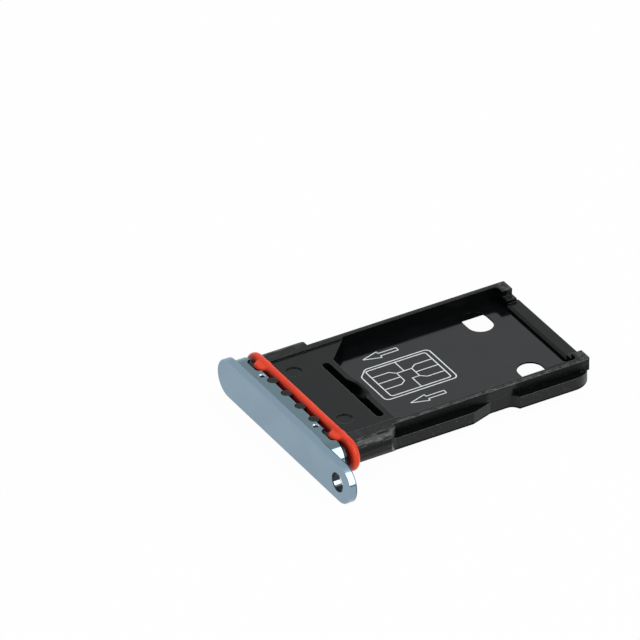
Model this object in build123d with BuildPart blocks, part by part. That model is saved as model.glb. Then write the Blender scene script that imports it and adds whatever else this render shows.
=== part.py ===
from build123d import *
import os

# Double-sided nano card tray, millimetres.
# X runs from the outer face of the cap towards the tail, Y across the tray, Z up.
# The origin is on the outer face of the cap, on the centre line and mid plane of the tray body.

# Card that the two pockets take
card_length = 12.30
card_width = 8.80
card_corner = 1.65
end_clearance = 0.05
side_clearance = 0.145
corner_clearance = 0.05

# Frame round the pockets
body_thickness = 1.72
upper_depth = 0.91
plate_thickness = 0.10
pocket_round = 0.28
rail_wall = 0.395
rail_lean = 0.12
rail_round = 0.10
ledge_drop = 0.85
flange_ledge = 0.43
flange_round = 0.10
flange_corner = 1.35

# Notches in both flanges
notch_from_pocket = 4.80
notch_length = 3.18
notch_ramp = 1.42
notch_steep = 0.28
notch_round = 0.50
notch_undercut = 0.02

# Corner posts, steps and the low bar between them at the tail
post_length = 0.70
post_reach = 0.655
post_corner = 0.14
step_reach = 0.52
step_rise = 0.22
bar_rise = 0.30
bar_chamfer = 0.14
bar_nose = 0.19
bar_nose_overlap = 0.22
bar_nose_corner = 0.15

# Nub on one rail that keeps the card down
nub_from_rear = 2.14
nub_length = 1.36
nub_reach = 0.17
nub_height = 0.20

# Spring beam and the slot in front of it
beam_thickness = 0.39
slot_width = 0.51
slot_length = 6.55
slot_shift = -0.495
bulge_half = 1.15
bulge_slot = 0.28
bulge_beam = 0.19

# Neck block behind the seal
neck_length = 2.83
neck_shoulder = 0.37
neck_ramp = 0.45
neck_round_upper = 0.45
neck_round_lower = 0.60
front_wall = 0.59
deck_inset = 0.125
deck_step = 0.10
deck_bevel = 0.08
mark_diameter = 1.00
mark_depth = 0.06
mark_spacing = 5.80
mark_from_seal = 0.78

# Front cap: face plate, shadow groove and inner tier
cap_thickness = 0.54
cap_lip = 0.18
cap_far_lip = 0.34
cap_near_reach = 2.79
cap_rim = 0.05
eject_hole_diameter = 1.15
eject_hole_from_end = 1.41
eject_hole_lead = 0.05
groove_width = 0.08
groove_inset = 0.16
tier_overhang = 0.43
tier_rise = 0.21
tier_depth = 0.79
tier_rim = 0.04
dot_diameter = 0.30
dot_depth = 0.22
dot_lead = 0.06
dot_lead_angle = 90
dot_spacing = 6.16
dot_from_tier = 0.51

# Teeth of the body that lock into the inner tier
tooth_count = 4
tooth_pitch = 1.58
tooth_radius = 0.33
tooth_inset = 0.05
wide_tooth_spacing = 8.56
wide_tooth_width = 1.40
wide_tooth_reach = 0.33
wide_tooth_inset = 0.26

# Seal ring, with its crest level with the tier, and the core it sits on
collar_width = 0.31
collar_lip = 0.05
seal_width = 0.70
seal_overhang = 0.18
seal_thickness = 0.44
seal_round = 0.34
pad_diameter = 1.08
pad_shift = 0.18
pad_drop = 0.05
pad_bevel = 0.12

# Divider plate
plate_front_gap = 0.31
plate_side_grip = 0.10
plate_rear_grip = 0.34
plate_hole_length = 2.20
plate_hole_width = 1.64
plate_hole_spacing = 6.26
plate_hole_shift = -0.13
plate_hole_from_bar = 2.25

# Places along the tray
tier_front = cap_thickness + groove_width
tier_back = tier_front + tier_depth
collar_back = tier_back + collar_width
seal_back = collar_back + seal_width
pad_middle = (collar_back + seal_back) / 2 - pad_shift
neck_back = seal_back + neck_length
pocket_front = neck_back + front_wall
pocket_rear = pocket_front + card_length + end_clearance
post_end = pocket_rear + post_length
tail_end = post_end + bar_nose
slot_back = pocket_front - beam_thickness
slot_middle = slot_back - slot_width / 2
notch_start = pocket_front + notch_from_pocket
notch_end = notch_start + notch_length
nub_middle = pocket_rear - nub_from_rear + nub_length / 2

# Widths across the tray
pocket_width = card_width + 2 * side_clearance
pocket_corner = card_corner + corner_clearance
rail_crest_width = pocket_width + 2 * rail_wall
rail_foot_width = rail_crest_width - 2 * rail_lean
flange_width = rail_foot_width + 2 * flange_ledge
neck_width = flange_width + 2 * neck_shoulder
deck_width = pocket_width - 2 * deck_inset
post_spacing = pocket_width - 2 * post_reach
step_spacing = post_spacing - 2 * step_reach
bar_nose_width = step_spacing + 2 * bar_nose_overlap
notch_depth = flange_ledge + notch_undercut
tier_length = neck_width + 2 * tier_overhang
cap_length = tier_length + cap_far_lip + cap_near_reach
cap_shift = (cap_far_lip - cap_near_reach) / 2
eject_hole_place = cap_shift - cap_length / 2 + eject_hole_from_end
tooth_row_length = tier_length - 2 * tooth_inset
wide_row_length = tier_length - 2 * wide_tooth_inset
seal_length = tier_length + 2 * seal_overhang
core_length = seal_length - 2 * seal_thickness
collar_length = core_length + 2 * collar_lip

# Heights
half_body = body_thickness / 2
lower_depth = body_thickness - upper_depth - plate_thickness
ledge_height = half_body - ledge_drop
flange_thickness = body_thickness - ledge_drop
plate_top = half_body - upper_depth
plate_bottom = plate_top - plate_thickness
bar_top = plate_top + bar_rise
bar_bottom = plate_bottom - bar_rise
tier_height = body_thickness + 2 * tier_rise
cap_height = tier_height + 2 * cap_lip
tooth_height = tier_height - 2 * tooth_inset
wide_tooth_height = tier_height - 2 * wide_tooth_inset
seal_height = tier_height
core_height = seal_height - 2 * seal_thickness
collar_height = core_height + 2 * collar_lip
pad_thickness = wide_tooth_inset - pad_drop
deck_top = half_body - deck_step
square_to_corner = 2**0.5

# Both faces carry the same layout, turned half round about X
upper_face = Plane(origin=(0, 0, half_body), x_dir=(1, 0, 0), z_dir=(0, 0, 1))
under_face = Plane(origin=(0, 0, -half_body), x_dir=(1, 0, 0), z_dir=(0, 0, -1))
both_faces = ((upper_face, upper_depth), (under_face, lower_depth))
upper_crest = Plane(origin=(0, 0, seal_height / 2), x_dir=(1, 0, 0), z_dir=(0, 0, 1))
cap_plane = Plane.YZ
tier_plane = Plane.YZ.offset(tier_front)

os.makedirs("parts", exist_ok=True)

# Divider plate between the two pockets, with its two locating holes
with BuildPart() as divider_plate:
    plate_start = pocket_front + plate_front_gap
    plate_stop = pocket_rear + plate_rear_grip
    plate_length = plate_stop - plate_start
    plate_middle = (plate_start + plate_stop) / 2
    plate_width = pocket_width + 2 * plate_side_grip
    hole_row = pocket_rear - plate_hole_from_bar
    with BuildSketch(Plane.XY.offset(plate_top)):
        with Locations((plate_middle, 0)):
            Rectangle(plate_length, plate_width)
        with Locations((hole_row, plate_hole_shift)):
            with GridLocations(0, plate_hole_spacing, 1, 2):
                SlotOverall(plate_hole_length, plate_hole_width, rotation=90, mode=Mode.SUBTRACT)
    extrude(amount=-plate_thickness)

# Recesses in the tier, open at its rear edge
with BuildPart() as tier_recesses:
    with BuildSketch(Plane.XY.offset(-cap_height)):
        with Locations((tier_back, 0)):
            with GridLocations(0, tooth_pitch, 1, tooth_count):
                Circle(tooth_radius)
            with GridLocations(0, wide_tooth_spacing, 1, 2):
                SlotOverall(wide_tooth_width, 2 * wide_tooth_reach, rotation=90)
        with Locations((tier_back + cap_height, 0)):
            Rectangle(2 * cap_height, 2 * cap_length, mode=Mode.SUBTRACT)
    extrude(amount=2 * cap_height)

# Round teeth of the body, half in the tier and half on the collar
with BuildPart() as round_teeth:
    with BuildSketch(Plane.XY.offset(-cap_height)):
        with Locations((tier_back, 0)):
            with GridLocations(0, tooth_pitch, 1, tooth_count):
                Circle(tooth_radius)
    extrude(amount=2 * cap_height)
    with BuildSketch(tier_plane):
        SlotOverall(tooth_row_length, tooth_height)
    extrude(amount=tier_depth + collar_width, mode=Mode.INTERSECT)

# Lower wide teeth of the body that carry the pads of the seal
with BuildPart() as wide_teeth:
    with BuildSketch(Plane.XY.offset(-cap_height)):
        with Locations((tier_back, 0)):
            with GridLocations(0, wide_tooth_spacing, 1, 2):
                SlotOverall(wide_tooth_width, 2 * wide_tooth_reach, rotation=90)
    extrude(amount=2 * cap_height)
    with BuildSketch(tier_plane):
        SlotOverall(wide_row_length, wide_tooth_height)
    extrude(amount=tier_depth + collar_width, mode=Mode.INTERSECT)

# Front cap with its eject hole
with BuildPart() as front_cap:
    with BuildSketch(cap_plane):
        with Locations((cap_shift, 0)):
            SlotOverall(cap_length, cap_height)
    extrude(amount=cap_thickness)
    face_rim = front_cap.faces().sort_by(Axis.X)[0].outer_wire().edges()
    back_rim = front_cap.faces().sort_by(Axis.X)[-1].outer_wire().edges()
    chamfer(face_rim + back_rim, length=cap_rim)
    with BuildSketch(cap_plane.offset(cap_thickness)):
        SlotOverall(tier_length - 2 * groove_inset, tier_height - 2 * groove_inset)
    extrude(amount=groove_width)
    with BuildSketch(tier_plane):
        SlotOverall(tier_length, tier_height)
    extrude(amount=tier_depth)
    tier_edge = front_cap.faces().sort_by(Axis.X)[-1].outer_wire().edges()
    chamfer(tier_edge, length=tier_rim)
    with BuildSketch(cap_plane):
        with Locations((eject_hole_place, 0)):
            Circle(eject_hole_diameter / 2)
    extrude(amount=cap_thickness, mode=Mode.SUBTRACT)
    hole_edges = front_cap.edges().filter_by(GeomType.CIRCLE).filter_by(lambda edge: edge.is_closed)
    chamfer(hole_edges, length=eject_hole_lead)
    with Locations((tier_front + dot_from_tier, 0, tier_height / 2)):
        with GridLocations(0, dot_spacing, 1, 2):
            CounterSinkHole(
                radius=dot_diameter / 2,
                counter_sink_radius=dot_diameter / 2 + dot_lead,
                depth=dot_depth,
                counter_sink_angle=dot_lead_angle,
            )
    add(tier_recesses.part, mode=Mode.SUBTRACT)

# Round pads of the seal near its ends, on both faces
with BuildPart() as seal_pads:
    with BuildSketch(upper_crest.offset(-pad_drop)):
        with Locations((pad_middle, 0)):
            with GridLocations(0, wide_tooth_spacing, 1, 2):
                Circle(pad_diameter / 2)
    extrude(amount=-pad_thickness)
    pad_rims = seal_pads.faces().group_by(Axis.Z)[-1].edges()
    chamfer(pad_rims, length=pad_bevel)
    mirror(about=Plane.XY)

# Seal ring round the core, with its pads
with BuildPart() as seal_ring:
    with BuildSketch(Plane.YZ.offset(collar_back)):
        SlotOverall(seal_length, seal_height)
    extrude(amount=seal_width)
    crest = seal_ring.faces().filter_by(Axis.X).edges()
    fillet(crest, radius=seal_round)
    add(seal_pads.part)
    with BuildSketch(Plane.YZ.offset(collar_back)):
        SlotOverall(core_length, core_height)
    extrude(amount=seal_width, mode=Mode.SUBTRACT)

# Tray body: frame round both pockets, neck block, core, collar and teeth
with BuildPart() as tray_body:
    # Lower frame with its flanges and their notches
    with BuildSketch(Plane.XY.offset(-half_body)):
        with Locations(((tail_end + seal_back) / 2, 0)):
            Rectangle(tail_end - seal_back, flange_width)
        fillet(vertices().group_by(Axis.X)[-1], radius=flange_corner)
    extrude(amount=flange_thickness)
    with BuildSketch(Plane.XY.offset(-half_body)):
        notch_wall = flange_width / 2 - notch_depth
        notch_outer = flange_width / 2 + notch_depth
        with BuildLine():
            Polyline(
                (notch_start - notch_ramp, notch_outer),
                (notch_start + notch_ramp, notch_wall),
                (notch_end - notch_steep, notch_wall),
                (notch_end + notch_steep, notch_outer),
                close=True,
            )
        make_face()
        fillet(vertices().group_by(Axis.Y)[0], radius=notch_round)
        mirror(about=Plane.XZ)
    extrude(amount=flange_thickness, mode=Mode.SUBTRACT)
    floor_rim = tray_body.faces().sort_by(Axis.Z)[0].edges().sort_by(Axis.X)[1:]
    fillet(floor_rim, radius=flange_round)

    # Upper frame with walls that lean in towards the ledge
    with BuildSketch(Plane.YZ.offset(seal_back)):
        with BuildLine():
            Polyline(
                (-rail_foot_width / 2, ledge_height),
                (rail_foot_width / 2, ledge_height),
                (rail_crest_width / 2, half_body),
                (-rail_crest_width / 2, half_body),
                close=True,
            )
        make_face()
        fillet(vertices().group_by(Axis.Y)[-1], radius=rail_round)
    extrude(amount=post_end - seal_back)
    with BuildSketch(Plane.XY.offset(ledge_height)):
        with Locations((post_end, 0)):
            with GridLocations(0, rail_crest_width, 1, 2):
                Rectangle(post_corner * square_to_corner, post_corner * square_to_corner, rotation=45)
    extrude(amount=ledge_drop, mode=Mode.SUBTRACT)

    # Neck block with rounded flanks that run in to the flanges at the rear
    with BuildSketch(Plane.YZ.offset(seal_back)):
        Rectangle(neck_width, body_thickness)
        fillet(vertices().group_by(Axis.Y)[-1], radius=neck_round_upper)
        fillet(vertices().group_by(Axis.Y)[0], radius=neck_round_lower)
    extrude(amount=neck_length)
    with BuildSketch(Plane.XY.offset(-half_body)):
        with BuildLine():
            Polyline(
                (neck_back - 2 * neck_ramp, neck_width / 2 + neck_shoulder),
                (neck_back, flange_width / 2),
                (neck_back, neck_width / 2 + neck_shoulder),
                close=True,
            )
        make_face()
        mirror(about=Plane.XZ)
    extrude(amount=body_thickness, mode=Mode.SUBTRACT)

    for face, depth in both_faces:
        # Card pocket with its keyed corner, open through to the divider plate
        with BuildSketch(face):
            with BuildLine():
                Polyline(
                    (pocket_front, -pocket_width / 2),
                    (pocket_rear, -pocket_width / 2),
                    (pocket_rear, pocket_width / 2),
                    (pocket_front + pocket_corner, pocket_width / 2),
                    (pocket_front, pocket_width / 2 - pocket_corner),
                    close=True,
                )
            make_face()
            rear_points = vertices().group_by(Axis.X)[-1]
            front_point = vertices().group_by(Axis.X)[0].sort_by(Axis.Y)[0]
            fillet([*rear_points, front_point], radius=pocket_round)
        extrude(amount=-(depth + plate_thickness), mode=Mode.SUBTRACT)

        # Lowered deck between the edge strips of the neck
        deck_end = pocket_front + pocket_corner
        with BuildSketch(face):
            with Locations(((deck_end + seal_back) / 2, 0)):
                Rectangle(deck_end - seal_back, deck_width)
        extrude(amount=-deck_step, mode=Mode.SUBTRACT)

        # Round marks on the deck
        with BuildSketch(face.offset(-deck_step)):
            with Locations((seal_back + mark_from_seal, 0)):
                with GridLocations(0, mark_spacing, 1, 2):
                    Circle(mark_diameter / 2)
        extrude(amount=-mark_depth, mode=Mode.SUBTRACT)

        # Slot that frees the spring beam
        with BuildSketch(face):
            with Locations((slot_middle, slot_shift)):
                SlotOverall(slot_length, slot_width, rotation=90)
            with BuildLine():
                bulge_from = (slot_back, slot_shift - bulge_half)
                bulge_top = (slot_back + bulge_slot, slot_shift)
                bulge_to = (slot_back, slot_shift + bulge_half)
                ThreePointArc(bulge_from, bulge_top, bulge_to)
                Line(bulge_to, bulge_from)
            make_face()
        extrude(amount=-(depth + plate_thickness), mode=Mode.SUBTRACT)

        # Bump of the beam that presses on the card
        with BuildSketch(face.offset(-deck_step)):
            with BuildLine():
                bump_from = (pocket_front, slot_shift - bulge_half)
                bump_top = (pocket_front + bulge_beam, slot_shift)
                bump_to = (pocket_front, slot_shift + bulge_half)
                ThreePointArc(bump_from, bump_top, bump_to)
                Line(bump_to, bump_from)
            make_face()
        extrude(amount=-(depth - deck_step))

        # Steps beside the corner posts and the low bar between them
        with BuildSketch(face):
            with Locations(((pocket_rear + tail_end) / 2, 0)):
                Rectangle(tail_end - pocket_rear, post_spacing)
        extrude(amount=-(depth - bar_rise - step_rise), mode=Mode.SUBTRACT)
        with BuildSketch(face):
            with Locations(((pocket_rear + tail_end) / 2, 0)):
                Rectangle(tail_end - pocket_rear, step_spacing)
        extrude(amount=-(depth - bar_rise), mode=Mode.SUBTRACT)

    # Bevel of the decks towards the seal
    with BuildSketch(Plane.XZ):
        with Locations((seal_back, deck_top), (seal_back, -deck_top)):
            Rectangle(deck_bevel * square_to_corner, deck_bevel * square_to_corner, rotation=45)
    extrude(amount=deck_width / 2, both=True, mode=Mode.SUBTRACT)

    # Nose and inner chamfers of the bar
    with BuildSketch(Plane.XY.offset(bar_bottom)):
        with Locations((post_end, 0)):
            Rectangle(2 * bar_nose, bar_nose_width)
        chamfer(vertices().group_by(Axis.X)[-1], length=bar_nose_corner)
    extrude(amount=bar_top - bar_bottom)
    with BuildSketch(Plane.XZ):
        with Locations((pocket_rear, bar_top), (pocket_rear, bar_bottom)):
            Rectangle(bar_chamfer * square_to_corner, bar_chamfer * square_to_corner, rotation=45)
    extrude(amount=step_spacing / 2, both=True, mode=Mode.SUBTRACT)

    # Nub under the crest of one rail
    with BuildSketch(upper_face):
        with Locations((nub_middle, -pocket_width / 2)):
            SlotOverall(nub_length, 2 * nub_reach)
            with Locations((0, -nub_reach)):
                Rectangle(nub_length, 2 * nub_reach, mode=Mode.SUBTRACT)
    extrude(amount=-nub_height)

    # Core and collar at the front, and the teeth that enter the cap
    with BuildSketch(Plane.YZ.offset(collar_back)):
        SlotOverall(core_length, core_height)
    extrude(amount=seal_width)
    with BuildSketch(Plane.YZ.offset(tier_back)):
        SlotOverall(collar_length, collar_height)
    extrude(amount=collar_width)
    add(round_teeth.part)
    add(wide_teeth.part)
    add(divider_plate.part, mode=Mode.SUBTRACT)
    add(seal_ring.part, mode=Mode.SUBTRACT)

front_cap.part.label = "front_cap"
seal_ring.part.label = "seal_ring"
tray_body.part.label = "tray_body"
divider_plate.part.label = "divider_plate"

export_step(front_cap.part, "parts/front_cap.step")
export_step(seal_ring.part, "parts/seal_ring.step")
export_step(tray_body.part, "parts/tray_body.step")
export_step(divider_plate.part, "parts/divider_plate.step")
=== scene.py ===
"""Looks of a double-sided card tray for a phone: its finishes, its print, the studio and the camera.

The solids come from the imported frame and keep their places. This script gives each one its finish, lays
the printed card sign and arrows on both faces of the divider plate, and sets a plain white studio around the
tray. X runs from the cap's outer face to the tail, Y across the tray and Z up. Sizes of the object are written
in millimetres and turned into metres where a mesh or a shader takes them.
"""

import logging
import math
from dataclasses import dataclass, field
from enum import Enum
from typing import Any, Optional, Union

import bmesh
import bpy
from mathutils import Matrix, Vector


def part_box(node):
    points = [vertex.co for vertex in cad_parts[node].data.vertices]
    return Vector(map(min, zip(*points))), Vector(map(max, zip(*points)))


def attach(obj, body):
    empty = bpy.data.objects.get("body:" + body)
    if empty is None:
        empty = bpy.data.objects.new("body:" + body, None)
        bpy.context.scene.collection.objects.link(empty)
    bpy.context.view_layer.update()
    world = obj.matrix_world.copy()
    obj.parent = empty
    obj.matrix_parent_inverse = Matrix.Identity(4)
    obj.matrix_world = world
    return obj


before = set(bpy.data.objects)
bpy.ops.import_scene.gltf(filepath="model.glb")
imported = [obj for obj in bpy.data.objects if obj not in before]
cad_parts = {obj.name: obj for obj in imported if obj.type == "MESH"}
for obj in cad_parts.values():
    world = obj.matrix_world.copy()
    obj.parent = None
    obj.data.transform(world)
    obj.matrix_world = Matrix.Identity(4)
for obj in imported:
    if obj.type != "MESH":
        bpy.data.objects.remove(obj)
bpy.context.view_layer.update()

MM = 0.001
LOG = logging.getLogger("card_tray")

Rgb = tuple[float, float, float]
Point = tuple[float, float]
Triple = tuple[float, float, float]
Band = tuple[float, float]
Operand = Union[float, "Wire"]

WHITE: Rgb = (1.0, 1.0, 1.0)


class Wire:
    """A value in a shader: one socket, with arithmetic that adds Math nodes."""

    def __init__(self, sheet: "Sheet", socket: bpy.types.NodeSocket) -> None:
        """Keeps the socket and the sheet it is on."""
        self.sheet = sheet
        self.socket = socket

    def math(self, operation: str, *operands: Operand) -> "Wire":
        """Adds one Math node.

        Args:
            operation: Blender's name for the operation.
            operands: The node's inputs in order.

        Returns:
            The node's result.
        """
        return self.sheet.node("ShaderNodeMath", {"operation": operation}, dict(enumerate(operands)))

    def __add__(self, other: Operand) -> "Wire":
        """Adds other to this value."""
        return self.math("ADD", self, other)

    def __radd__(self, other: Operand) -> "Wire":
        """Adds this value to other."""
        return self.math("ADD", other, self)

    def __sub__(self, other: Operand) -> "Wire":
        """Takes other from this value."""
        return self.math("SUBTRACT", self, other)

    def __rsub__(self, other: Operand) -> "Wire":
        """Takes this value from other."""
        return self.math("SUBTRACT", other, self)

    def __mul__(self, other: Operand) -> "Wire":
        """Multiplies this value by other."""
        return self.math("MULTIPLY", self, other)

    def __rmul__(self, other: Operand) -> "Wire":
        """Multiplies other by this value."""
        return self.math("MULTIPLY", other, self)

    def __abs__(self) -> "Wire":
        """Drops this value's sign."""
        return self.math("ABSOLUTE", self)

    def larger(self, other: Operand) -> "Wire":
        """Takes the larger of this value and other."""
        return self.math("MAXIMUM", self, other)

    def smaller(self, other: Operand) -> "Wire":
        """Takes the smaller of this value and other."""
        return self.math("MINIMUM", self, other)

    def rise(self, start: float, end: float) -> "Wire":
        """Turns this value into a smooth mask.

        Args:
            start: The value at which the mask is 0.
            end: The value at which the mask is 1; it may be below start.

        Returns:
            The mask, held between 0 and 1.
        """
        low, high = min(start, end), max(start, end)
        mask = self.sheet.node(
            "ShaderNodeMapRange",
            {"interpolation_type": "SMOOTHSTEP"},
            {"Value": self, "From Min": low, "From Max": high},
        )
        return mask if end > start else 1.0 - mask


@dataclass(frozen=True)
class Grain:
    """A noise: lumps to a millimetre, finer layers, their strength, and a stretch along X, Y and Z."""

    per_mm: float
    detail: float = 3.0
    crisp: float = 0.5
    stretch: Optional[Triple] = None


class Sheet:
    """The node tree of one material or of the world, with the one method that makes its nodes."""

    bevel_samples = 6

    def __init__(self, tree: bpy.types.NodeTree) -> None:
        """Starts from an empty tree."""
        self.tree = tree
        tree.nodes.clear()

    def node(
        self,
        kind: str,
        settings: Optional[dict[str, Any]] = None,
        inputs: Optional[dict[Union[str, int], Any]] = None,
        output: Union[str, int] = 0,
    ) -> Wire:
        """Adds one node.

        Args:
            kind: The node's type.
            settings: Its own properties; "stops" gives a colour ramp's places and colours.
            inputs: Values or wires for its sockets, by name or number.
            output: The socket to return.

        Returns:
            That output, or the first input of a node that has no outputs.
        """
        made = self.tree.nodes.new(kind)
        for name, value in (settings or {}).items():
            if name == "stops":
                self._set_stops(made.color_ramp, value)
            else:
                setattr(made, name, value)
        for name, value in (inputs or {}).items():
            if isinstance(value, Wire):
                self.tree.links.new(value.socket, made.inputs[name])
            else:
                made.inputs[name].default_value = value
        return Wire(self, made.outputs[output] if made.outputs else made.inputs[0])

    @staticmethod
    def _set_stops(ramp: bpy.types.ColorRamp, stops: list[tuple[float, Rgb]]) -> None:
        """Puts a ramp's stops in place.

        Args:
            ramp: The colour ramp.
            stops: Each stop's place from 0 to 1, and its colour.
        """
        while len(ramp.elements) < len(stops):
            ramp.elements.new(1.0)
        for element, (place, colour) in zip(ramp.elements, stops):
            element.position = place
            element.color = (*colour, 1.0)

    def place(self) -> Wire:
        """Gives the point on the object, in millimetres."""
        metres = self.node("ShaderNodeTexCoord", output="Object")
        return self.node("ShaderNodeVectorMath", {"operation": "SCALE"}, {0: metres, "Scale": 1 / MM})

    def along(self, vector: Wire, axis: str) -> Wire:
        """Gives one of a vector's components, X, Y or Z."""
        return self.node("ShaderNodeSeparateXYZ", inputs={0: vector}, output=axis)

    def facing(self) -> Wire:
        """Gives the surface's own normal."""
        return self.node("ShaderNodeNewGeometry", output="Normal")

    def noise(self, at: Wire, grain: Grain) -> Wire:
        """Adds a noise texture.

        Args:
            at: Where it is read, in millimetres.
            grain: The kind of noise.

        Returns:
            The noise, about 0.5 on average.
        """
        if grain.stretch:
            at = self.node("ShaderNodeVectorMath", {"operation": "MULTIPLY"}, {0: at, 1: grain.stretch})
        return self.node(
            "ShaderNodeTexNoise",
            inputs={"Vector": at, "Scale": grain.per_mm, "Detail": grain.detail, "Roughness": grain.crisp},
            output="Fac",
        )

    def rounded(self, radius_mm: float) -> Wire:
        """Gives the surface's normal with its sharp edges rounded off."""
        return self.node("ShaderNodeBevel", {"samples": self.bevel_samples}, {"Radius": radius_mm * MM})

    def edges(self, radius_mm: float) -> Wire:
        """Finds the edges.

        Args:
            radius_mm: How far from an edge it still counts.

        Returns:
            0 on a flat surface, rising to about 0.3 on an edge.
        """
        turn = self.node(
            "ShaderNodeVectorMath",
            {"operation": "DOT_PRODUCT"},
            {0: self.facing(), 1: self.rounded(radius_mm)},
            output="Value",
        )
        return 1.0 - turn

    def mixed(self, factor: Operand, first: Union[Rgb, Wire], second: Union[Rgb, Wire]) -> Wire:
        """Mixes two colours.

        Args:
            factor: 0 for the first, 1 for the second.
            first: A colour.
            second: A colour.

        Returns:
            The mixed colour.
        """
        first, second = (c if isinstance(c, Wire) else (*c, 1.0) for c in (first, second))
        return self.node("ShaderNodeMix", {"data_type": "RGBA"}, {0: factor, 6: first, 7: second}, output=2)

    def bumped(self, height: Wire, depth_mm: float, normal: Wire) -> Wire:
        """Roughens a normal.

        Args:
            height: The relief, from 0 to 1.
            depth_mm: How deep a relief of 1 is.
            normal: The normal to start from.

        Returns:
            The roughened normal.
        """
        return self.node(
            "ShaderNodeBump", inputs={"Distance": depth_mm * MM, "Height": height, "Normal": normal}
        )


@dataclass(frozen=True)
class Spot:
    """A point of the surface: its place in millimetres, along X, Y and Z, and how far it faces along each."""

    at: Wire
    along: Wire
    aside: Wire
    level: Wire
    forward: Wire
    sideward: Wire
    up: Wire

    @classmethod
    def read(cls, sheet: Sheet) -> "Spot":
        """Reads the point that is being shaded.

        Args:
            sheet: The material's sheet.

        Returns:
            The point.
        """
        at, facing = sheet.place(), sheet.facing()
        return cls(at, *(sheet.along(vector, axis) for vector in (at, facing) for axis in "XYZ"))


@dataclass(frozen=True)
class Finish:
    """What every finish shares: its name and the making of its material."""

    name: str

    def make(self) -> bpy.types.Material:
        """Makes the material from the finish's shader.

        Returns:
            The material.
        """
        material = bpy.data.materials.new(self.name)
        material.use_nodes = True
        sheet = Sheet(material.node_tree)
        sheet.node("ShaderNodeOutputMaterial", inputs={"Surface": self.shade(sheet)})
        return material

    def shade(self, sheet: Sheet) -> Wire:
        """Lays out the finish's nodes; each finish has its own."""
        raise NotImplementedError


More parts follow.
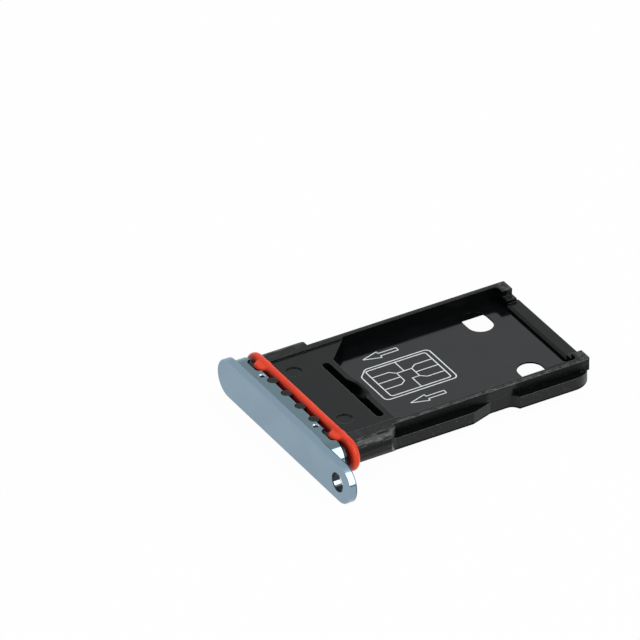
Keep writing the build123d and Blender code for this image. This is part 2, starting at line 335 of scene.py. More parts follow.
@dataclass(frozen=True)
class AnodisedMetal(Finish):
    """Blue-grey anodised aluminium: a blasted outer plate, and a polished tier and plate ends."""

    colour: Rgb = (0.244, 0.343, 0.424)
    deep_colour: Rgb = (0.224, 0.316, 0.392)
    # Painted light: the plate's long edges take this lighter colour in place of brighter reflected light.
    painted_light_rim_colour: Rgb = (0.306, 0.424, 0.512)
    tier_colour: Rgb = (0.212, 0.304, 0.348)
    # Painted shade: this dark colour darkens the eject hole's wall and a line along the plate's rear edge.
    painted_shade_metal_colour: Rgb = (0.036, 0.048, 0.056)
    # Painted highlight: this pale colour lights the hole's wall where it faces up and to the near side.
    glint_colour: Rgb = (0.34, 0.38, 0.40)
    bare_colour: Rgb = (0.62, 0.67, 0.70)
    plate_back: Band = (0.57, 0.55)
    face_turn: Band = (-0.90, -0.98)
    end_turn: Band = (0.42, 0.58)
    # Painted shadow: a dark line along the plate's rear top edge near its end.
    shadow_line_depth: Band = (0.43, 0.455)
    shadow_line_start: Band = (-4.4, -5.4)
    shadow_line_share: float = 0.75
    glint_aside: Band = (-0.62, -0.72)
    glint_up: Band = (0.42, 0.52)
    hole_place: float = -7.43
    hole_reach: float = 0.64
    hole_core: float = 0.94
    dot_place: Point = (1.13, 3.08)
    dot_reach: float = 0.22
    dot_core: float = 0.90
    dot_low: Band = (0.40, 0.50)
    dot_high: Band = (0.97, 0.90)
    clouds: Grain = Grain(0.35, 3.0)
    cloud_band: Band = (0.3, 0.7)
    blast: Grain = Grain(26.0, 2.0, 0.6)
    blast_depth: float = 0.0022
    speck_band: Band = (0.55, 0.9)
    speck_share: float = 0.25
    hairlines: Grain = Grain(9.0, 3.0, 0.5, (1.0, 0.12, 1.0))
    hairline_height: float = 0.12
    wear: Grain = Grain(3.0, 4.0)
    wear_band: Band = (0.38, 0.62)
    wear_edge: float = 0.045
    wear_turn: Band = (0.02, 0.20)
    wear_share: float = 0.6
    blasted_roughness: Band = (0.36, 0.10)
    polished_roughness: Band = (0.10, 0.06)
    edge_round: float = 0.03

    def shade(self, sheet: Sheet) -> Wire:
        """Lays out the blasted plate, the polished rest and the bright corners.

        Args:
            sheet: The material's sheet.

        Returns:
            The finish's shader.
        """
        spot = Spot.read(sheet)
        plate = spot.along.rise(*self.plate_back)
        turned = abs(spot.sideward).rise(*self.end_turn)
        outward = spot.forward.rise(*self.face_turn)
        bore = self._bore(spot) * plate * (1.0 - outward)
        blasted = plate * (1.0 - turned.larger(bore))
        blast = sheet.noise(spot.at, self.blast)
        hairlines = sheet.noise(spot.at, self.hairlines)
        tinted = self._tint(sheet, spot, plate, (1.0 - outward) * (1.0 - turned), bore)
        specks = blasted * blast.rise(*self.speck_band) * self.speck_share
        speckled = sheet.mixed(specks, tinted, self.bare_colour)
        worn = sheet.edges(self.wear_edge).rise(*self.wear_turn)
        worn = worn * sheet.noise(spot.at, self.wear).rise(*self.wear_band) * (1.0 - bore) * self.wear_share
        matt, matt_more = self.blasted_roughness
        bright, bright_more = self.polished_roughness
        roughness = blasted * (matt + matt_more * blast)
        roughness = roughness + (1.0 - blasted) * (bright + bright_more * hairlines)
        relief = blasted * blast + (1.0 - blasted) * self.hairline_height * hairlines
        return sheet.node(
            "ShaderNodeBsdfPrincipled",
            inputs={
                "Base Color": sheet.mixed(worn.larger(self._dots(spot)), speckled, self.bare_colour),
                "Metallic": 1.0,
                "Roughness": roughness,
                "Normal": sheet.bumped(relief, self.blast_depth, sheet.rounded(self.edge_round)),
            },
        )

    def _tint(self, sheet: Sheet, spot: Spot, plate: Wire, rim: Wire, bore: Wire) -> Wire:
        """Colours the anodised skin and lays painted light and painted shade on it.

        Args:
            sheet: The material's sheet.
            spot: The point on the surface.
            plate: 1 on the outer plate, 0 on the tier.
            rim: 1 on the plate's long edges, which get painted light.
            bore: 1 on the wall of the eject hole, which gets painted shade and a painted highlight.

        Returns:
            The colour of the plate, its edges with painted light, the tier, the hole darkened as painted shade
            with a painted highlight, and a painted shadow line behind the plate.
        """
        clouds = sheet.noise(spot.at, self.clouds).rise(*self.cloud_band)
        anodised = sheet.mixed(clouds, self.deep_colour, self.colour)
        # Painted light: the plate's long edges are lightened.
        rimmed = sheet.mixed(rim, anodised, self.painted_light_rim_colour)
        # Painted shadow line along the plate's rear top edge near its end.
        line = spot.along.rise(*self.shadow_line_depth) * spot.aside.rise(*self.shadow_line_start)
        # Painted highlight on the hole's wall where it faces up and to the near side.
        glint = spot.sideward.rise(*self.glint_aside) * spot.up.rise(*self.glint_up)
        # Painted shade on the hole's wall and on the line behind the plate.
        return sheet.mixed(
            bore.larger(line * plate * self.shadow_line_share),
            sheet.mixed(plate, self.tier_colour, rimmed),
            sheet.mixed(glint * bore, self.painted_shade_metal_colour, self.glint_colour),
        )

    def _bore(self, spot: Spot) -> Wire:
        """Finds the wall of the eject hole: 1 round the hole's axis, 0 away from it."""
        aside, reach = spot.aside - self.hole_place, self.hole_reach**2
        return (aside * aside + spot.level * spot.level).rise(reach, self.hole_core * reach)

    def _dots(self, spot: Spot) -> Wire:
        """Finds the sloping walls of the two small dots on each face of the tier.

        Args:
            spot: The point on the surface.

        Returns:
            1 on such a wall, 0 away from it.
        """
        ahead, aside = spot.along - self.dot_place[0], abs(spot.aside) - self.dot_place[1]
        reach = self.dot_reach**2
        near = (ahead * ahead + aside * aside).rise(reach, self.dot_core * reach)
        return near * spot.up.rise(*self.dot_low) * spot.up.rise(*self.dot_high)


@dataclass(frozen=True)
class Silicone(Finish):
    """Orange-red silicone, darkened on its flanks as painted shade, with faint mould lines and a little dust.
    """

    colour: Rgb = (0.76, 0.043, 0.0048)
    deep_colour: Rgb = (0.67, 0.031, 0.0042)
    # Painted shade: the ring's flanks take this dark red.
    painted_shade_flank_colour: Rgb = (0.22, 0.006, 0.003)
    dust_colour: Rgb = (0.84, 0.26, 0.17)
    pad_place: float = 4.28
    pad_half: Band = (0.75, 0.40)
    pad_front: Band = (2.15, 1.95)
    pad_shade_relief: float = 0.8
    front_flank_shade: Band = (-0.25, -0.95)
    rear_flank_shade: Band = (0.70, 1.0)
    rear_shade_share: float = 0.8
    clouds: Grain = Grain(0.8, 3.0)
    cloud_band: Band = (0.25, 0.6)
    skin: Grain = Grain(11.0, 3.0)
    skin_depth: float = 0.004
    dust: Grain = Grain(7.0, 5.0, 0.65)
    dust_band: Band = (0.66, 0.78)
    dust_share: float = 0.45
    roughness: float = 0.20
    skin_roughness: float = 0.14
    dust_roughness: float = 0.15
    ior: float = 1.36
    edge_round: float = 0.16

    def shade(self, sheet: Sheet) -> Wire:
        """Lays out the silicone's colour, the painted shade on its flanks, its dust and skin.

        Args:
            sheet: The material's sheet.

        Returns:
            The finish's shader.
        """
        spot = Spot.read(sheet)
        smooth = sheet.rounded(self.edge_round)
        turn = sheet.along(smooth, "X")
        pads = abs(abs(spot.aside) - self.pad_place).rise(*self.pad_half) * spot.along.rise(*self.pad_front)
        # Painted shade on the front flank, less of it on the pads, and on the rear flank.
        flank = turn.rise(*self.front_flank_shade) * (1.0 - self.pad_shade_relief * pads)
        flank = flank.larger(turn.rise(*self.rear_flank_shade) * self.rear_shade_share)
        clouds = sheet.noise(spot.at, self.clouds).rise(*self.cloud_band)
        skin = sheet.noise(spot.at, self.skin)
        dust = sheet.noise(spot.at, self.dust).rise(*self.dust_band)
        crest = sheet.mixed(clouds, self.deep_colour, self.colour)
        colour = sheet.mixed(flank, crest, self.painted_shade_flank_colour)
        return sheet.node(
            "ShaderNodeBsdfPrincipled",
            inputs={
                "Base Color": sheet.mixed(dust * self.dust_share, colour, self.dust_colour),
                "Roughness": self.roughness + self.skin_roughness * skin + self.dust_roughness * dust,
                "IOR": self.ior,
                "Normal": sheet.bumped(skin + dust, self.skin_depth, smooth),
            },
        )


@dataclass(frozen=True)
class MouldedPlastic(Finish):
    """Black moulded plastic: glossy faces, painted shade on the inner walls and other sheltered faces, painted
    light on the up-facing faces, painted highlights on some edges, worn rail crests and slide marks on the
    neck.
    """

    colour: Rgb = (0.0017, 0.0026, 0.0023)
    # Painted light: the up-facing faces take this lighter black.
    painted_light_top_colour: Rgb = (0.0046, 0.0058, 0.0056)
    # Painted shade: a dark matt shader in these two colours is laid where shade falls.
    painted_shade_plastic_colour: Rgb = (0.0021, 0.0022, 0.0023)
    pale_colour: Rgb = (0.0036, 0.0038, 0.0039)
    # Scuffs on worn edges, and painted highlights on the lips, take this pale grey.
    scuff_and_highlight_colour: Rgb = (0.150, 0.152, 0.150)
    bright_colour: Rgb = (0.300, 0.305, 0.300)
    roughness: float = 0.13
    cloud_roughness: float = 0.08
    worn_roughness: float = 0.30
    rubbed_roughness: float = 0.20
    wall_roughness: float = 0.22
    ior: float = 1.333
    edge_round: float = 0.08
    wear_edge: float = 0.07
    wear_turn: Band = (0.03, 0.26)
    texture_depth: float = 0.0028
    painted_shade_grain: Grain = Grain(9.0, 4.0, 0.6)
    painted_shade_band: Band = (0.4, 0.7)
    clouds: Grain = Grain(0.55, 4.0)
    texture: Grain = Grain(15.0, 3.0, 0.6)
    flecks: Grain = Grain(6.5, 5.0, 0.62)
    chip_band: Band = (0.44, 0.66)
    lip_band: Band = (0.40, 0.60)
    specks: Grain = Grain(7.5, 5.0, 0.72)
    speck_band: Band = (0.56, 0.74)
    speck_level: Band = (0.96, 0.80)
    patches: Grain = Grain(5.5, 5.0, 0.70, (0.6, 1.0, 1.0))
    patch_band: Band = (0.36, 0.70)
    streaks: Grain = Grain(4.5, 5.0, 0.68, (0.35, 1.0, 1.0))
    streak_band: Band = (0.42, 0.68)
    chip_share: float = 0.7
    speck_share: float = 0.45
    post_share: float = 0.8
    rubbed_share: float = 0.30
    shoulder_share: float = 0.80
    strip_share: float = 0.10
    # How much painted shade each sheltered place gets.
    inner_shade: float = 0.92
    wall_shade: float = 0.55
    ledge_shade: float = 0.5
    under_shade: float = 0.85
    band_shade: float = 0.4
    bump_shade: float = 0.55
    # Less painted shade on the rail wall along the notches.
    notch_relief: float = 0.75
    upright_turn: Band = (0.6, 0.4)
    leaning_turn: Band = (0.85, 0.60)
    level_turn: Band = (0.90, 0.97)
    neck_rear: Band = (5.30, 5.35)
    neck_front: Band = (5.30, 5.10)
    rail_front: Band = (5.45, 5.85)
    rail_inside: Band = (4.66, 4.76)
    rail_outside: Band = (5.05, 5.0)
    rail_foot: Band = (0.02, 0.06)
    rail_top: Band = (0.76, 0.82)
    rail_side: Band = (0.86, 0.80)
    inner_side: Band = (4.60, 4.58)
    pocket_end: Band = (18.6, 18.5)
    tail: Band = (18.2, 18.3)
    post_front: Band = (18.2, 18.45)
    post_level: Band = (0.35, 0.60)
    flank: Band = (5.00, 5.10)
    shell_level: Band = (0.50, 0.60)
    foot_level: Band = (-0.75, -0.55)
    ledge: float = 0.01
    ledge_band: Band = (0.03, 0.01)
    under_turn: Band = (-0.02, -0.15)
    under_level: Band = (-0.45, -0.60)
    low_level: Band = (-0.66, -0.74)
    bottom_turn: Band = (-0.97, -0.80)
    bump: Point = (5.66, -0.60)
    bump_long: Band = (0.24, 0.14)
    bump_wide: Band = (1.0, 0.5)
    neck_flank: Band = (5.5, 5.6)
    band_foot: Band = (-0.05, 0.10)
    band_top: Band = (0.45, 0.30)
    shoulder_side: Band = (4.95, 5.40)
    shoulder_level: Band = (0.30, 0.55)
    strip_side: Band = (4.42, 4.50)
    strip_level: Band = (0.80, 0.85)
    near_side: Band = (0.5, -0.5)
    far_wear: float = 0.45
    notch_start: Band = (11.6, 12.0)
    notch_end: Band = (13.9, 13.6)
    slot_front: float = 4.94
    slot_half: Band = (0.06, 0.03)
    slot_reach: Band = (4.0, 3.8)
    deck: float = 0.76
    deck_half: Band = (0.04, 0.02)
    lip_side: Band = (5.05, 5.15)
    lip_half: Band = (0.06, 0.03)
    neck_edge: float = 4.85
    neck_edge_half: Band = (0.30, 0.15)
    neck_edge_side: Band = (5.2, 5.3)
    slot_lip: float = 0.40
    neck_lip: float = 0.8
    plain_lip: float = 0.4

    def shade(self, sheet: Sheet) -> Wire:
        """Mixes the glossy faces with a dark matt shader laid as painted shade on the sheltered ones.

        Args:
            sheet: The material's sheet.

        Returns:
            The finish's shader.
        """
        spot = Spot.read(sheet)
        # Painted shade: a dark matt shader that stands in for shade on sheltered faces.
        grain = sheet.noise(spot.at, self.painted_shade_grain).rise(*self.painted_shade_band)
        dull = sheet.mixed(grain, self.painted_shade_plastic_colour, self.pale_colour)
        matt = sheet.node("ShaderNodeBsdfDiffuse", inputs={"Color": dull})
        glossy = self._glossy(sheet, spot)
        return sheet.node("ShaderNodeMixShader", inputs={0: self._painted_shade(spot), 1: glossy, 2: matt})

    def _painted_shade(self, spot: Spot) -> Wire:
        """Finds where shade is painted: inner walls, rail walls, ledges, lower edges, a band on the neck and
        the slot's bump.

        Args:
            spot: The point on the surface.

        Returns:
            How much painted shade the surface gets, from 0 to 1.
        """
        along, across, level, up = spot.along, abs(spot.aside), spot.level, spot.up
        upright, flat = abs(up).rise(*self.upright_turn), up.rise(*self.level_turn)
        behind = along.rise(*self.neck_rear)
        inner = upright * across.rise(*self.inner_side) * along.rise(*self.pocket_end)
        wall = upright * behind * across.rise(*self.rail_outside) * level.rise(*self.rail_foot)
        wall = wall * (1.0 - self.notch_relief * self._notched(along))
        ledge = behind * flat * abs(level - self.ledge).rise(*self.ledge_band)
        under = up.rise(*self.under_turn) * level.rise(*self.under_level)
        under = under.larger(upright * level.rise(*self.low_level)) * up.rise(*self.bottom_turn)
        bump_along, bump_aside = abs(along - self.bump[0]), abs(spot.aside - self.bump[1])
        bump = bump_aside.rise(*self.bump_wide) * bump_along.rise(*self.bump_long) * flat
        band = level.rise(*self.band_foot) * level.rise(*self.band_top)
        band = (1.0 - behind) * across.rise(*self.neck_flank) * band
        # Painted shade on inner walls, rail walls, ledges, lower edges, the neck band and the slot's bump.
        dull = (inner * self.inner_shade).larger(wall * self.wall_shade)
        dull = dull.larger(ledge * self.ledge_shade).larger(under * self.under_shade)
        return dull.larger(band * self.band_shade).larger(bump * self.bump_shade)

    def _glossy(self, sheet: Sheet, spot: Spot) -> Wire:
        """Lays out the colour with painted light on the up-facing faces, the texture, the wear and the painted
        edge highlights of the glossy faces.

        Args:
            sheet: The material's sheet.
            spot: The point on the surface.

        Returns:
            The glossy shader.
        """
        along, across, height = spot.along, abs(spot.aside), abs(spot.level)
        outer = height.rise(*self.shell_level).larger(across.rise(*self.flank)).larger(along.rise(*self.tail))
        # This mask holds real wear and the painted edge highlights.
        worn = self._wear_and_highlights(sheet, spot, outer)
        rail = along.rise(*self.rail_front) * across.rise(*self.rail_inside)
        near = self.far_wear + (1.0 - self.far_wear) * spot.aside.rise(*self.near_side)
        crest = rail * height.rise(*self.rail_top) * near
        wall = rail * height.rise(*self.rail_side) * across.rise(*self.rail_outside)
        wall = wall * (1.0 - self._notched(along))
        posts = along.rise(*self.post_front) * height.rise(*self.post_level)
        patches = sheet.noise(spot.at, self.patches).rise(*self.patch_band)
        rubbed = (crest + posts * self.post_share).smaller(1.0) * patches
        clouds, texture = sheet.noise(spot.at, self.clouds), sheet.noise(spot.at, self.texture)
        # Painted light: the up-facing faces are lighter than the sides.
        colour = sheet.mixed(spot.up.rise(*self.level_turn), self.colour, self.painted_light_top_colour)
        # Scuffs and painted highlights lighten the colour.
        scuffed_and_highlit = sheet.mixed(worn, colour, self.scuff_and_highlight_colour)
        roughness = self.roughness + self.cloud_roughness * clouds + self.worn_roughness * worn
        roughness = roughness + self.rubbed_roughness * rubbed + self.wall_roughness * wall
        return sheet.node(
            "ShaderNodeBsdfPrincipled",
            inputs={
                "Base Color": sheet.mixed(rubbed * self.rubbed_share, scuffed_and_highlit, self.bright_colour),
                "Roughness": roughness,
                "IOR": self.ior,
                "Normal": sheet.bumped(texture, self.texture_depth, self._soft_normal(sheet, outer)),
            },
        )

    def _wear_and_highlights(self, sheet: Sheet, spot: Spot, outer: Wire) -> Wire:
        """Finds the worn plastic and the painted highlights: chipped edges, painted highlights on the lips,
        slide marks and fine specks on the walls.

        Args:
            sheet: The material's sheet.
            spot: The point on the surface.
            outer: 1 on the outer shell.

        Returns:
            How far wear and painted highlights lighten the surface, from 0 to 1.
        """
        flecks = sheet.noise(spot.at, self.flecks)
        shell = outer * spot.level.rise(*self.foot_level)
        corners = sheet.edges(self.wear_edge).rise(*self.wear_turn) * shell
        chips = corners * flecks.rise(*self.chip_band) * self.chip_share
        # Painted highlights on the lips, broken up by flecks.
        lips = self._painted_lip_highlights(spot, corners)
        lips = lips * (self.plain_lip + (1.0 - self.plain_lip) * flecks.rise(*self.lip_band))
        specks = sheet.noise(spot.at, self.specks).rise(*self.speck_band)
        specks = specks * abs(spot.level).rise(*self.speck_level) * abs(spot.up).rise(*self.leaning_turn)
        return (chips + self._slid(sheet, spot) + lips + specks * self.speck_share).smaller(1.0)

    def _notched(self, along: Wire) -> Wire:
        """Finds the stretch of the notches along the tray."""
        return along.rise(*self.notch_start) * along.rise(*self.notch_end)

    def _slid(self, sheet: Sheet, spot: Spot) -> Wire:
        """Finds the slide marks on the neck's upper shoulders.

        Args:
            sheet: The material's sheet.
            spot: The point on the surface.

        Returns:
            How worn the plastic is there, from 0 to 1.
        """
        across = abs(spot.aside)
        streaks = sheet.noise(spot.at, self.streaks).rise(*self.streak_band)
        streaks = streaks * spot.along.rise(*self.neck_front)
        shoulder = across.rise(*self.shoulder_side) * spot.level.rise(*self.shoulder_level)
        strip = across.rise(*self.strip_side) * spot.level.rise(*self.strip_level)
        return streaks * (shoulder * self.shoulder_share).larger(strip * self.strip_share)

    def _painted_lip_highlights(self, spot: Spot, corners: Wire) -> Wire:
        """Finds the painted highlights on the lips: the slot's front edge, the rear edge of the neck's flank
        and the ledge's edge.

        Args:
            spot: The point on the surface.
            corners: Where the edges are.

        Returns:
            How bright the painted highlight on the edge is, from 0 to 1.
        """
        along, across, level = spot.along, abs(spot.aside), spot.level
        slot = abs(along - self.slot_front).rise(*self.slot_half) * across.rise(*self.slot_reach)
        slot = slot * abs(abs(level) - self.deck).rise(*self.deck_half)
        ledge = abs(level - self.ledge).rise(*self.lip_half) * across.rise(*self.lip_side)
        flank = abs(along - self.neck_edge).rise(*self.neck_edge_half) * across.rise(*self.neck_edge_side)
        return corners * (slot * self.slot_lip + flank * self.neck_lip + ledge)

    def _soft_normal(self, sheet: Sheet, outer: Wire) -> Wire:
        """Rounds the outer edges and leaves the inner corners sharp.

        Args:
            sheet: The material's sheet.
            outer: 1 where the edges are rounded.

        Returns:
            The normal.
        """
        return sheet.node(
            "ShaderNodeMix",
            {"data_type": "VECTOR"},
            {0: outer, 4: sheet.facing(), 5: sheet.rounded(self.edge_round)},
            output=1,
        )


@dataclass(frozen=True)
class GlossBlack(Finish):
    """Mirror-black coated sheet metal with faint clouds, a few hairlines and fine orange peel."""

    colour: Rgb = (0.0018, 0.0022, 0.0026)
    pale_colour: Rgb = (0.0036, 0.0044, 0.0050)
    hair_colour: Rgb = (0.08, 0.08, 0.08)
    clouds: Grain = Grain(0.45, 3.0)
    cloud_band: Band = (0.3, 0.7)
    peel: Grain = Grain(2.4, 2.0)
    peel_depth: float = 0.0012
    hairs: Grain = Grain(8.0, 4.0, 0.7, (0.05, 1.0, 1.0))
    hair_band: Band = (0.62, 0.70)
    hair_share: float = 0.10
    roughness: float = 0.07
    cloud_roughness: float = 0.08
    hair_roughness: float = 0.10
    ior: float = 1.545
    edge_round: float = 0.02
    cut_turn: Band = (0.7, 0.5)

    def shade(self, sheet: Sheet) -> Wire:
        """Lays out the coating's clouds, hairlines and orange peel, and the dull cut edges.

        Args:
            sheet: The material's sheet.

        Returns:
            The finish's shader.
        """
        spot = Spot.read(sheet)
        clouds = sheet.noise(spot.at, self.clouds)
        peel = sheet.noise(spot.at, self.peel)
        hairs = sheet.noise(spot.at, self.hairs).rise(*self.hair_band)
        colour = sheet.mixed(clouds.rise(*self.cloud_band), self.colour, self.pale_colour)
        coated = sheet.node(
            "ShaderNodeBsdfPrincipled",
            inputs={
                "Base Color": sheet.mixed(hairs * self.hair_share, colour, self.hair_colour),
                "Roughness": self.roughness + self.cloud_roughness * clouds + self.hair_roughness * hairs,
                "IOR": self.ior,
                "Normal": sheet.bumped(peel, self.peel_depth, sheet.rounded(self.edge_round)),
            },
        )
        dull = sheet.mixed(clouds, self.colour, self.pale_colour)
        cut = sheet.node("ShaderNodeBsdfDiffuse", inputs={"Color": dull})
        edge = abs(spot.up).rise(*self.cut_turn)
        return sheet.node("ShaderNodeMixShader", inputs={0: edge, 1: coated, 2: cut})


@dataclass(frozen=True)
class PrintedInk(Finish):
    """White screen ink with a slightly uneven edge and film."""

    colour: Rgb = (0.80, 0.81, 0.81)
    thin_colour: Rgb = (0.56, 0.57, 0.58)
    film: Grain = Grain(3.0, 4.0)
    thin_band: Band = (0.55, 0.25)
    thin_share: float = 0.7
    grain: Grain = Grain(40.0, 2.0)
    grain_depth: float = 0.001
    roughness: float = 0.48
    grain_roughness: float = 0.2
    ior: float = 1.45
    edge_round: float = 0.01

    def shade(self, sheet: Sheet) -> Wire:
        """Lays out the ink's uneven film.

        Args:
            sheet: The material's sheet.

        Returns:
            The finish's shader.
        """
        at = sheet.place()
        thin = sheet.noise(at, self.film).rise(*self.thin_band) * self.thin_share
        grain = sheet.noise(at, self.grain)
        return sheet.node(
            "ShaderNodeBsdfPrincipled",
            inputs={
                "Base Color": sheet.mixed(thin, self.colour, self.thin_colour),
                "Roughness": self.roughness + self.grain_roughness * grain,
                "IOR": self.ior,
                "Normal": sheet.bumped(grain, self.grain_depth, sheet.rounded(self.edge_round)),
            },
        )


@dataclass(frozen=True)
class StudioPaper(Finish):
    """Thin white paper that is bright where the camera or a reflection meets it, and keeps a soft shadow."""

    colour: Rgb = (0.90, 0.90, 0.90)
    fibre_colour: Rgb = (0.84, 0.84, 0.84)
    fibre: Grain = Grain(0.05, 4.0)
    fibre_share: float = 0.04
    glow: float = 0.955
    thinness: float = 0.5

    def shade(self, sheet: Sheet) -> Wire:
        """Lays out the paper's upper side; its under side is see-through.

        Args:
            sheet: The material's sheet.

        Returns:
            The finish's shader.
        """
        fibre = sheet.noise(sheet.place(), self.fibre) * self.fibre_share
        pulp = sheet.mixed(fibre, self.colour, self.fibre_colour)
        matt = sheet.node("ShaderNodeBsdfDiffuse", inputs={"Color": pulp})
        passed = sheet.node("ShaderNodeBsdfTranslucent", inputs={"Color": (*self.colour, 1.0)})
        thin = sheet.node("ShaderNodeMixShader", inputs={0: self.thinness, 1: matt, 2: passed})
        bright = sheet.node("ShaderNodeEmission", inputs={"Color": (*WHITE, 1.0), "Strength": 1.0})
        ways = ("Is Camera Ray", "Is Glossy Ray", "Is Transmission Ray")
        camera, glossy, through = (sheet.node("ShaderNodeLightPath", output=way) for way in ways)
        seen = camera.larger(glossy).larger(through) * self.glow
        paper = sheet.node("ShaderNodeMixShader", inputs={0: seen, 1: thin, 2: bright})
        clear = sheet.node("ShaderNodeBsdfTransparent")
        below = sheet.node("ShaderNodeNewGeometry", output="Backfacing")
        return sheet.node("ShaderNodeMixShader", inputs={0: below, 1: paper, 2: clear})


class Side(Enum):
    """The two faces of the tray; the lower one is the upper one turned half round about X."""

    UPPER = 1
    UNDER = -1

    @property
    def word(self) -> str:
        """Gives the face's name for a piece."""
        return self.name.lower()


@dataclass(frozen=True)
class Stroke:
    """One printed line through corner points, in millimetres."""

    corners: tuple[Point, ...]
    width: float
    radius: float = 0.0
    closed: bool = False
    arc_steps: int = 6
    leg_share: float = 0.48
    least_mitre: float = 0.35

    def stations(self) -> list[Vector]:
        """Walks the line.

        Returns:
            Its points, with each corner turned in a small arc where the stroke has a radius.
        """
        points = [Vector(corner) for corner in self.corners]
        if not self.radius:
            return points
        count = len(points)
        walked = []
        for index, here in enumerate(points):
            if not self.closed and index in (0, count - 1):
                walked.append(here)
                continue
            walked.extend(self._arc(points[index - 1], here, points[(index + 1) % count]))
        return walked

    def _arc(self, before: Vector, here: Vector, after: Vector) -> list[Vector]:
        """Rounds one corner.

        Args:
            before: The corner before it.
            here: The corner.
            after: The corner after it.

        Returns:
            Points from one leg to the other.
        """
        back, ahead = before - here, after - here
        half_turn = (math.pi - back.angle(ahead)) / 2
        shorter = min(back.length, ahead.length)
        reach = min(self.radius * math.tan(half_turn), self.leg_share * shorter)
        start, end = here + back.normalized() * reach, here + ahead.normalized() * reach
        shares = [step / self.arc_steps for step in range(self.arc_steps + 1)]
        return [start.lerp(here, t).lerp(here.lerp(end, t), t) for t in shares]

    def rims(self) -> list[tuple[Vector, Vector]]:
        """Offsets the line to both sides.

        Returns:
            The left and right rim at each station.
        """
        points = self.stations()
        count = len(points)
        rims = []
        for index, here in enumerate(points):
            first, last = index == 0 and not self.closed, index == count - 1 and not self.closed
            inward = (here - points[index - 1]).normalized() if not first else None
            outward = (points[(index + 1) % count] - here).normalized() if not last else None
            inward, outward = inward or outward, outward or inward
            run = (inward + outward).normalized()
            aside = Vector((-run.y, run.x)) * (self.width / 2 / max(run.dot(outward), self.least_mitre))
            rims.append((here + aside, here - aside))
        return rims


@dataclass
class PrintedSign:
    """A set of strokes of white ink, lying on one face of the divider plate."""

    name: str
    strokes: tuple[Stroke, ...]
    film: float = 0.006
    sunk: float = 0.001
    layer: float = 0.0003

    def build(self, side: Side, ink: bpy.types.Material) -> bpy.types.Object:
        """Makes the print of one face.

        Args:
            side: The face it lies on.
            ink: Its material.

        Returns:
            The piece, riding on the tray.
        """
        low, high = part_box("divider_plate")
        level = high.z if side is Side.UPPER else low.z
        shape = bmesh.new()
        for number, stroke in enumerate(self.strokes):
            self._lay(shape, stroke, side, level, self.film + number * self.layer)
        mesh = bpy.data.meshes.new(f"{self.name}_{side.word}")
        bmesh.ops.recalc_face_normals(shape, faces=shape.faces)
        shape.to_mesh(mesh)
        shape.free()
        piece = bpy.data.objects.new(mesh.name, mesh)
        bpy.context.scene.collection.objects.link(piece)
        mesh.materials.append(ink)
        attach(piece, "root")
        return piece

    def _lay(self, shape: bmesh.types.BMesh, stroke: Stroke, side: Side, level: float, film: float) -> None:
        """Lays one stroke as a thin closed ribbon.

        Args:
            shape: The mesh it goes into.
            stroke: The stroke.
            side: The face it lies on.
            level: The height of that face, in metres.
            film: The ink's thickness, in millimetres.
        """
        turn = side.value
        top, foot = level + turn * film * MM, level - turn * self.sunk * MM
        rings = []
        for left, right in stroke.rims():
            ends = ((left, top), (right, top), (right, foot), (left, foot))
            rings.append([shape.verts.new((at.x * MM, turn * at.y * MM, z)) for at, z in ends])
        pairs = list(zip(rings, rings[1:]))
        if stroke.closed:
            pairs.append((rings[-1], rings[0]))
        else:
            shape.faces.new(rings[0])
            shape.faces.new(list(reversed(rings[-1])))
        for here, there in pairs:
            for edge in range(4):
                ahead = (edge + 1) % 4
                shape.faces.new((here[edge], here[ahead], there[ahead], there[edge]))


@dataclass(frozen=True)
class CardSign:
    """The outline of a small card with its cut corner, and the contacts on it."""

    front: float = 6.91
    rear: float = 11.87
    near: float = -1.47
    far: float = 2.01
    corner: float = 0.36
    cut: float = 0.62
    pad_front: float = 7.41
    pad_rear: float = 11.55
    pad_near: float = -1.23
    pad_far: float = 1.79
    pad_corner: float = 0.20
    left_spine: float = 8.945
    right_spine: float = 9.98
    slant: float = 0.36
    left_lines: Band = (1.03, -0.44)
    right_lines: Band = (0.99, -0.475)
    high: float = 0.72
    mid: float = 0.275
    low: float = -0.18
    far_split: float = 9.45
    near_split: float = 9.48
    line: float = 0.078
    fine_line: float = 0.066

    def strokes(self) -> tuple[Stroke, ...]:
        """Draws the sign.

        Returns:
            The card, the contact pad and the lines between the contacts.
        """
        card = Stroke(
            (
                (self.front, self.near),
                (self.rear, self.near),
                (self.rear, self.far),
                (self.front + self.cut, self.far),
                (self.front, self.far - self.cut),
            ),
            self.line,
            self.corner,
            True,
        )
        pad = Stroke(
            (
                (self.pad_front, self.pad_near),
                (self.pad_rear, self.pad_near),
                (self.pad_rear, self.pad_far),
                (self.pad_front, self.pad_far),
            ),
            self.line,
            self.pad_corner,
            True,
        )
        return (card, pad, *self._contacts())

    def _contacts(self) -> tuple[Stroke, ...]:
        """Draws the lines between the contacts, left, right and middle."""
        lines = (
            self._comb(self.pad_front, self.left_spine, -self.slant, self.left_lines),
            ((self.pad_front, self.mid), (self.left_spine, self.mid)),
            self._comb(self.pad_rear, self.right_spine, self.slant, self.right_lines),
            ((self.right_spine, self.mid), (self.pad_rear, self.mid)),
            ((self.left_spine, self.high), (self.right_spine, self.high)),
            ((self.far_split, self.pad_far), (self.far_split, self.high)),
            ((self.right_spine, self.low), (self.near_split, self.low), (self.near_split, self.pad_near)),
        )
        return tuple(Stroke(line, self.fine_line) for line in lines)

    def _comb(self, edge: float, spine: float, slant: float, sides: Band) -> tuple[Point, ...]:
        """Draws the line round two contacts.

        Args:
            edge: The edge of the pad where it starts and ends.
            spine: Its place at the pad's middle.
            slant: How far its corners lie from the spine.
            sides: Its far and near side.

        Returns:
            Its corners, from the far side to the near side.
        """
        far, near = sides
        bend = spine + slant
        return ((edge, far), (bend, far), (spine, self.high), (spine, self.low), (bend, near), (edge, near))


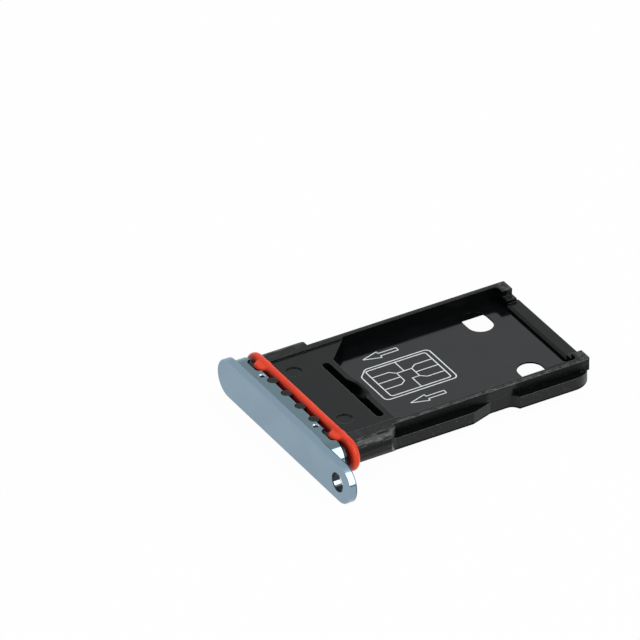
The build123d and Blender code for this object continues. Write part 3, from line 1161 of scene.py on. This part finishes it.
@dataclass(frozen=True)
class ArrowSign:
    """The outline of an arrow that points to the cap."""

    tip: float
    middle: float
    head: float = 1.15
    half_head: float = 0.345
    half_shaft: float = 0.145
    length: float = 2.39
    barb: float = 0.01
    corner: float = 0.03
    line: float = 0.066

    def strokes(self) -> tuple[Stroke, ...]:
        """Draws the arrow.

        Returns:
            Its outline as one closed line.
        """
        neck, tail = self.tip + self.head, self.tip + self.length
        far, near = self.middle + self.half_shaft, self.middle - self.half_shaft
        outline = (
            (self.tip, self.middle),
            (neck, self.middle + self.half_head),
            (neck + self.barb, far),
            (tail, far),
            (tail, near),
            (neck + self.barb, near),
            (neck, self.middle - self.half_head),
        )
        return (Stroke(outline, self.line, self.corner, True),)


@dataclass
class CadPiece:
    """A solid of the frame that keeps its shape and gets a finish."""

    node: str
    finish: Finish

    def dress(self) -> bpy.types.Object:
        """Gives the solid its finish.

        Returns:
            The solid.
        """
        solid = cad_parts[self.node]
        solid.data.materials.clear()
        solid.data.materials.append(self.finish.make())
        return solid


@dataclass
class FrontCap(CadPiece):
    """The cap and its stepped tier, in one piece of anodised metal."""

    node: str = "front_cap"
    finish: Finish = AnodisedMetal("cap_metal")


@dataclass
class SealRing(CadPiece):
    """The soft ring that closes the slot."""

    node: str = "seal_ring"
    finish: Finish = Silicone("seal_silicone")


@dataclass
class TrayBody(CadPiece):
    """The moulded frame with its two pockets, rails and spring beam."""

    node: str = "tray_body"
    finish: Finish = MouldedPlastic("body_plastic")


@dataclass
class DividerPlate(CadPiece):
    """The thin plate between the two pockets, with the same print on both faces."""

    node: str = "divider_plate"
    finish: Finish = GlossBlack("plate_coating")
    ink: Finish = PrintedInk("sign_ink")
    signs: tuple[PrintedSign, ...] = field(
        default_factory=lambda: (
            PrintedSign("card_sign", CardSign().strokes()),
            PrintedSign("arrow_far", ArrowSign(7.93, 2.96).strokes()),
            PrintedSign("arrow_near", ArrowSign(8.00, -2.405).strokes()),
        )
    )

    def print_faces(self) -> list[bpy.types.Object]:
        """Prints both faces and gives the printed pieces."""
        ink = self.ink.make()
        return [sign.build(side, ink) for side in Side for sign in self.signs]


@dataclass(frozen=True)
class Softbox:
    """A rectangular lamp that faces the tray."""

    name: str
    towards: Triple
    lean: Triple
    width: float
    height: float
    radiance: float
    distance: float = 0.36
    middle: Triple = (0.010, 0.0, 0.0)

    def hang(self) -> bpy.types.Object:
        """Hangs the lamp.

        Returns:
            The lamp, at its distance, turned to the tray's middle and with its height along the lean.
        """
        lamp = bpy.data.lights.new(self.name, "AREA")
        lamp.shape = "RECTANGLE"
        lamp.size = self.width
        lamp.size_y = self.height
        lamp.energy = self.radiance * math.pi * self.width * self.height
        holder = bpy.data.objects.new(self.name, lamp)
        direction = Vector(self.towards).normalized()
        aside = Vector(self.lean).cross(direction).normalized()
        turn = Matrix((aside, direction.cross(aside), direction)).transposed().to_4x4()
        place = Vector(self.middle) + direction * self.distance
        holder.matrix_world = Matrix.Translation(place) @ turn
        bpy.context.scene.collection.objects.link(holder)
        return holder


@dataclass
class Studio:
    """White paper under the tray, a white surround and soft lamps."""

    floor_level: float = -1.256
    floor_half: float = 2.0
    paper: Finish = StudioPaper("studio_paper")
    surround: tuple[tuple[float, Rgb], ...] = (
        (0.00, (0.90, 0.92, 0.93)),
        (0.30, (0.76, 0.79, 0.80)),
        (0.55, (0.63, 0.66, 0.67)),
        (1.00, (0.56, 0.58, 0.59)),
    )
    strip_colour: Rgb = (0.10, 0.11, 0.12)
    strip_height: Band = (0.11, 0.07)
    strip_ahead: Band = (-0.55, -0.75)
    floor_cells: int = 8
    lamps: tuple[Softbox, ...] = (
        Softbox("key_softbox", (0.428, -0.642, 0.637), (0.0, 0.704, 0.710), 0.11, 0.45, 4.0),
        Softbox("top_softbox", (-0.25, 0.10, 0.96), (0.0, 1.0, 0.0), 0.22, 0.22, 1.4),
    )

    def build(self) -> bpy.types.Object:
        """Lays the paper, lights the surround and hangs the lamps.

        Returns:
            The paper.
        """
        shape = bmesh.new()
        bmesh.ops.create_grid(
            shape, x_segments=self.floor_cells, y_segments=self.floor_cells, size=self.floor_half
        )
        mesh = bpy.data.meshes.new("paper_floor")
        shape.to_mesh(mesh)
        shape.free()
        floor = bpy.data.objects.new("paper_floor", mesh)
        floor.location = (0.0, 0.0, self.floor_level * MM)
        bpy.context.scene.collection.objects.link(floor)
        mesh.materials.append(self.paper.make())
        self._light_surround()
        for lamp in self.lamps:
            lamp.hang()
        return floor

    def _light_surround(self) -> None:
        """Makes the world a pale surround, white to the camera and darker overhead."""
        world = bpy.data.worlds.new("white_surround")
        bpy.context.scene.world = world
        world.use_nodes = True
        sheet = Sheet(world.node_tree)
        direction = sheet.node("ShaderNodeTexCoord", output="Generated")
        height = sheet.along(direction, "Z")
        strip = sheet.along(direction, "Y").rise(*self.strip_ahead) * height.rise(*self.strip_height)
        shaded = sheet.node("ShaderNodeValToRGB", {"stops": list(self.surround)}, {0: height})
        shaded = sheet.mixed(strip, shaded, self.strip_colour)
        camera = sheet.node("ShaderNodeLightPath", output="Is Camera Ray")
        colour = sheet.mixed(camera, shaded, WHITE)
        background = sheet.node("ShaderNodeBackground", inputs={"Color": colour, "Strength": 1.0})
        sheet.node("ShaderNodeOutputWorld", inputs={"Surface": background})


@dataclass
class TrayCamera:
    """The camera, placed by a fit to the tray's outline."""

    target: Triple = (10.0, 0.0, 0.06)
    azimuth: float = -30.7553
    elevation: float = 33.1165
    roll: float = 0.018
    focal_pixels: float = 10193.31
    pixels_per_mm: float = 16.954518
    aside: float = 5.79976
    above: float = -3.09544
    sensor: float = 36.0
    image_side: int = 640
    nearest: float = 0.01
    furthest: float = 50.0

    def place(self) -> bpy.types.Object:
        """Sets the camera up.

        Returns:
            The camera, made the scene's own.
        """
        turn, lift, tilt = (math.radians(angle) for angle in (self.azimuth, self.elevation, self.roll))
        back = Vector((math.sin(turn) * math.cos(lift), -math.cos(turn) * math.cos(lift), math.sin(lift)))
        right = Vector((0.0, 0.0, 1.0)).cross(back).normalized()
        upward = back.cross(right)
        right, upward = (
            math.cos(tilt) * right + math.sin(tilt) * upward,
            math.cos(tilt) * upward - math.sin(tilt) * right,
        )
        distance = self.focal_pixels / self.pixels_per_mm
        eye = Vector(self.target) - right * self.aside - upward * self.above + back * distance
        lens = bpy.data.cameras.new("tray_camera")
        lens.sensor_width = self.sensor
        lens.lens = self.sensor * self.focal_pixels / self.image_side
        lens.clip_start = self.nearest
        lens.clip_end = self.furthest
        camera = bpy.data.objects.new("tray_camera", lens)
        axes = Matrix((right, upward, back)).transposed().to_4x4()
        camera.matrix_world = Matrix.Translation(eye * MM) @ axes
        bpy.context.scene.collection.objects.link(camera)
        bpy.context.scene.camera = camera
        return camera


def main() -> None:
    """Dresses the tray piece by piece, then sets the studio and the camera."""
    logging.basicConfig(level=logging.INFO, format="%(message)s")
    bpy.context.scene.view_settings.view_transform = "Standard"
    for part in (FrontCap(), SealRing(), TrayBody()):
        LOG.info("dressed %s", part.dress().name)
    plate = DividerPlate()
    LOG.info("dressed %s", plate.dress().name)
    for piece in plate.print_faces():
        LOG.info("printed %s", piece.name)
    LOG.info("laid %s", Studio().build().name)
    LOG.info("placed %s", TrayCamera().place().name)


if __name__ == "__main__":
    main()
